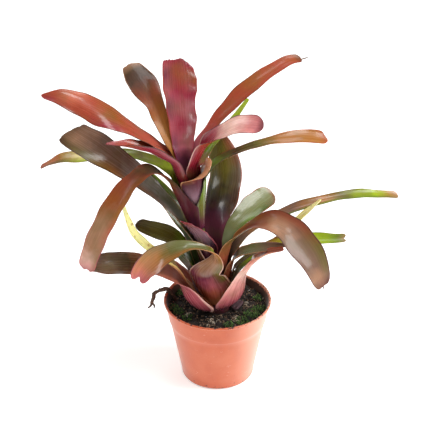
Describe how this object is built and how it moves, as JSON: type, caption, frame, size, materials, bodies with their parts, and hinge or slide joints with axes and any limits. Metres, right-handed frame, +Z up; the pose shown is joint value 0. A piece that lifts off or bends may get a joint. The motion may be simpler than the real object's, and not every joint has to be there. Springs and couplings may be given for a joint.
{
  "type": "potted bromeliad",
  "caption": "Two-tiered bromeliad with arching strap leaves in red, bronze and green, growing in a tapered terracotta-coloured nursery pot.",
  "frame": {"origin": "middle of the pot's foot, on the surface that the pot stands on", "axes": "+Z up, +X to the right and -Y towards the viewer of the picture; the stem leans towards -X"},
  "size_m": [0.4026, 0.2376, 0.3686],
  "materials": {
    "pot_plastic": "satin",
    "potting_soil": "matte",
    "stem_skin": "matte",
    "dry_root_bark": "matte",
    "lower_leaf": "gloss",
    "upper_leaf": "gloss"
  },
  "bodies": {
    "root": {"pot": "pot_plastic", "soil": "potting_soil", "stem": "stem_skin", "dry_root": "dry_root_bark", "lower_leaf_left_low": "lower_leaf", "lower_leaf_right_sheath": "lower_leaf", "lower_leaf_left_withered": "lower_leaf", "lower_leaf_back_small": "lower_leaf", "lower_leaf_right_withered": "lower_leaf", "lower_leaf_front_arched": "lower_leaf", "lower_leaf_right_notched": "lower_leaf", "lower_leaf_back_low": "lower_leaf", "lower_leaf_right_narrow": "lower_leaf", "lower_leaf_left_dark": "lower_leaf", "lower_leaf_right_long": "lower_leaf", "lower_leaf_left_green": "lower_leaf", "lower_leaf_right_drooping": "lower_leaf", "lower_leaf_back_right": "lower_leaf", "lower_leaf_left_cut": "lower_leaf", "lower_leaf_back_upright": "lower_leaf", "lower_leaf_centre": "lower_leaf", "upper_leaf_left_drooping": "upper_leaf", "upper_leaf_right_ochre": "upper_leaf", "upper_leaf_left_green": "upper_leaf", "upper_leaf_front_collar": "upper_leaf", "upper_leaf_back": "upper_leaf", "upper_leaf_right_green": "upper_leaf", "upper_leaf_left_folded": "upper_leaf", "upper_leaf_right_pink": "upper_leaf", "upper_leaf_left_red": "upper_leaf", "upper_leaf_right_long": "upper_leaf", "upper_leaf_back_ochre": "upper_leaf", "upper_leaf_top_plum": "upper_leaf"}
  },
  "joints": []
}
